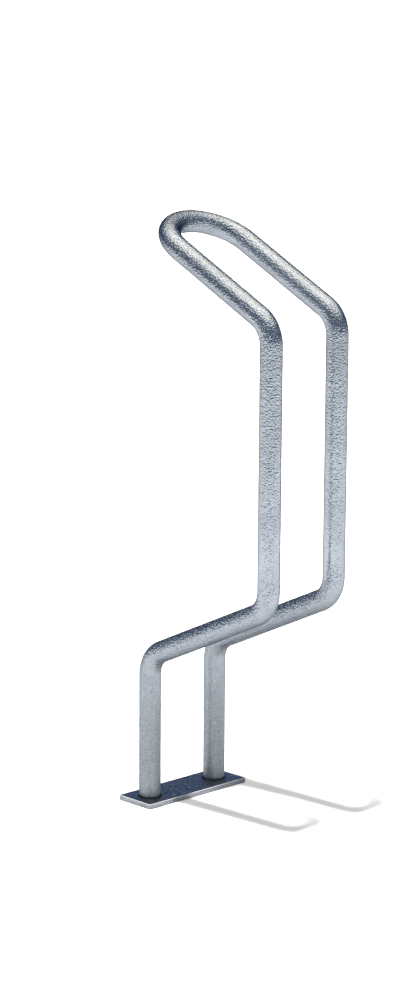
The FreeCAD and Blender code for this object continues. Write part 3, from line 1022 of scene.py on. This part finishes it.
def add_studio_world(scene):
    """The studio's walls and ceiling as light: dark blue low down, warm white overhead."""
    world = bpy.data.worlds.new("studio_surround")
    scene.world = world
    world.use_nodes = True
    tree = world.node_tree
    tree.nodes.clear()
    way = add_node(tree, "ShaderNodeTexCoord").outputs["Generated"]

    # The stops stand at shares of the way from the lowest point to the highest.
    height = add_node(
        tree, "ShaderNodeVectorMath", {"operation": "DOT_PRODUCT"}, {1: STUDIO_CEILING_AXIS},
        {0: way},
    ).outputs["Value"]
    share = add_node(
        tree, "ShaderNodeMapRange", values={"From Min": -1.0, "From Max": 1.0},
        links={"Value": height},
    ).outputs[0]
    shade = add_node(tree, "ShaderNodeValToRGB", links={0: share})
    set_stops(shade, [
        (0.0, linear(STUDIO_BELOW)),
        (STUDIO_BELOW_TO[0], linear(STUDIO_BELOW)),
        (STUDIO_BELOW_TO[1], linear(STUDIO_STOPS[0][1])),
        *((0.5 + 0.5 * math.sin(math.radians(degrees)), linear(text))
          for degrees, text in STUDIO_STOPS),
    ])

    # The panel behind the rack.
    behind = add_node(
        tree, "ShaderNodeVectorMath", {"operation": "DOT_PRODUCT"}, {1: STUDIO_PANEL_WAY},
        {0: way},
    ).outputs["Value"]
    panel_wide = add_node(
        tree, "ShaderNodeMapRange", {"interpolation_type": "SMOOTHSTEP"},
        {"From Min": STUDIO_PANEL_ENDS[0], "From Max": STUDIO_PANEL_ENDS[1]},
        {"Value": behind},
    ).outputs[0]
    level_up = add_node(tree, "ShaderNodeSeparateXYZ", links={0: way}).outputs["Z"]
    panel_high = add_node(
        tree, "ShaderNodeMapRange", {"interpolation_type": "SMOOTHSTEP"},
        {"From Min": STUDIO_PANEL_TOP[0], "From Max": STUDIO_PANEL_TOP[1],
         "To Min": 1.0, "To Max": 0.0},
        {"Value": level_up},
    ).outputs[0]
    panel = add_node(
        tree, "ShaderNodeMath", {"operation": "MULTIPLY"},
        links={0: panel_wide, 1: panel_high},
    ).outputs[0]
    walls = add_node(
        tree, "ShaderNodeMix", {"data_type": "RGBA"}, {MIX_B: linear(STUDIO_PANEL_COLOUR)},
        {MIX_FACTOR: panel, MIX_A: shade.outputs[0]},
    ).outputs[MIX_RESULT]

    ray = add_node(tree, "ShaderNodeLightPath").outputs
    strength = add_node(
        tree, "ShaderNodeMapRange",
        values={"To Min": STUDIO_LEVEL, "To Max": STUDIO_LEVEL * STUDIO_MATT_SHARE},
        links={"Value": ray["Is Diffuse Ray"]},
    ).outputs[0]
    light = add_node(
        tree, "ShaderNodeBackground", links={"Color": walls, "Strength": strength},
    ).outputs[0]
    add_node(tree, "ShaderNodeOutputWorld", links={"Surface": light})


def add_overhead_lamp(scene):
    """One soft lamp, which draws the shadows on the floor. The metal doesn't mirror it."""
    lamp = bpy.data.lights.new("overhead_lamp", "SUN")
    lamp.energy = LAMP_STRENGTH
    lamp.angle = math.radians(LAMP_WIDTH)
    lamp.color = LAMP_COLOUR
    made = bpy.data.objects.new("overhead_lamp", lamp)
    made.rotation_euler = (math.atan(LAMP_LEAN), 0.0, 0.0)
    made.location = LAMP_PLACE
    made.visible_glossy = False
    scene.collection.objects.link(made)


def add_camera(scene):
    """The camera at the photograph's viewing angle."""
    back = Vector((math.cos(CAMERA_RISE) * math.cos(CAMERA_TURN),
                   math.cos(CAMERA_RISE) * math.sin(CAMERA_TURN), math.sin(CAMERA_RISE)))
    level = (-back).cross(Vector((0, 0, 1))).normalized()
    upright = level.cross(-back)
    right = math.cos(CAMERA_ROLL) * level + math.sin(CAMERA_ROLL) * upright
    up = -math.sin(CAMERA_ROLL) * level + math.cos(CAMERA_ROLL) * upright
    lens = bpy.data.cameras.new("photo_view")
    lens.sensor_width = CAMERA_FILM
    lens.lens = CAMERA_LENS
    lens.clip_start, lens.clip_end = CAMERA_SEES
    made = bpy.data.objects.new("photo_view", lens)
    spot = Vector(CAMERA_TARGET) + back * CAMERA_DISTANCE
    turned = Matrix((right, up, back)).transposed().to_4x4()
    made.matrix_world = Matrix.Translation(spot) @ turned
    scene.collection.objects.link(made)
    scene.camera = made


# Operators and panel


def greyer(zinc):
    """The zinc of the patches between, for a finish that has one colour only."""
    return tuple(PATCH_SHADE * part for part in zinc)


class RACK_OT_base_plate(bpy.types.Operator):
    """Builds the base plate with its chamfered edges and tapped fixing holes"""

    bl_idname = "rack.base_plate"
    bl_label = "Base Plate"

    def execute(self, context):
        sizes, colours = context.scene.rack_sizes, context.scene.rack_colours
        zinc = hot_dip_zinc(
            "hot_dip_zinc_on_plate", colours.plate_zinc, greyer(colours.plate_zinc),
            PLATE_FINISH)
        build_base_plate(sizes, zinc, painted_highlight_edge(colours.edge_painted_highlight))
        return {"FINISHED"}


class RACK_OT_bent_tubes(bpy.types.Operator):
    """Builds the two mirrored bent tubes of the hoop"""

    bl_idname = "rack.bent_tubes"
    bl_label = "Bent Tubes"

    def execute(self, context):
        sizes, colours = context.scene.rack_sizes, context.scene.rack_colours
        # The tubes' foot colour is painted shade near the ground.
        zinc = hot_dip_zinc(
            "hot_dip_zinc_on_tube", colours.zinc, colours.zinc_shade, TUBE_FINISH,
            dull=colours.zinc_foot_painted_shade)
        for label in SIDES:
            build_bent_tube(label, sizes, zinc)
        return {"FINISHED"}


class RACK_OT_welds(bpy.types.Operator):
    """Builds the fillet welds round the feet and the butt weld at the crown"""

    bl_idname = "rack.welds"
    bl_label = "Welds"

    def execute(self, context):
        sizes, colours = context.scene.rack_sizes, context.scene.rack_colours
        # The welds' dark colour is partly painted shade where tube meets plate.
        zinc = hot_dip_zinc(
            "hot_dip_zinc_on_weld", colours.weld_zinc_and_contact_shade, greyer(colours.weld_zinc_and_contact_shade), WELD_FINISH)
        for label in SIDES:
            build_foot_weld(label, sizes, zinc)
        build_crown_weld(sizes, hot_dip_zinc(
            "hot_dip_zinc_on_crown", colours.zinc, colours.zinc_shade, CROWN_FINISH))
        return {"FINISHED"}


class RACK_OT_stage(bpy.types.Operator):
    """Sets up the studio: pale floor, soft light, dark low surround and photographed view"""

    bl_idname = "rack.stage"
    bl_label = "Studio"

    def execute(self, context):
        scene = context.scene
        scene.view_settings.view_transform = "Standard"
        add_floor(matt_floor_paint(scene.rack_colours.floor))
        add_studio_world(scene)
        add_overhead_lamp(scene)
        add_camera(scene)
        return {"FINISHED"}


class RACK_PT_panel(bpy.types.Panel):
    """Lists the rack's pieces and its sizes and colours"""

    bl_idname = "RACK_PT_panel"
    bl_label = "Hoop Bike Rack"
    bl_space_type = "VIEW_3D"
    bl_region_type = "UI"
    bl_category = "Bike Rack"

    def draw(self, context):
        layout = self.layout
        for operator in OPERATORS:
            layout.operator(operator.bl_idname)
        for group in (context.scene.rack_sizes, context.scene.rack_colours):
            box = layout.box()
            for name in group.__annotations__:
                box.prop(group, name)


OPERATORS = (RACK_OT_base_plate, RACK_OT_bent_tubes, RACK_OT_welds, RACK_OT_stage)
CLASSES = (BikeRackSizes, BikeRackColours, *OPERATORS, RACK_PT_panel)


def register():
    for made in CLASSES:
        bpy.utils.register_class(made)
    bpy.types.Scene.rack_sizes = PointerProperty(type=BikeRackSizes)
    bpy.types.Scene.rack_colours = PointerProperty(type=BikeRackColours)


def unregister():
    del bpy.types.Scene.rack_colours
    del bpy.types.Scene.rack_sizes
    for made in reversed(CLASSES):
        bpy.utils.unregister_class(made)


def main():
    register()
    bpy.ops.rack.base_plate()
    bpy.ops.rack.bent_tubes()
    bpy.ops.rack.welds()
    bpy.ops.rack.stage()


if __name__ == "__main__":
    main()
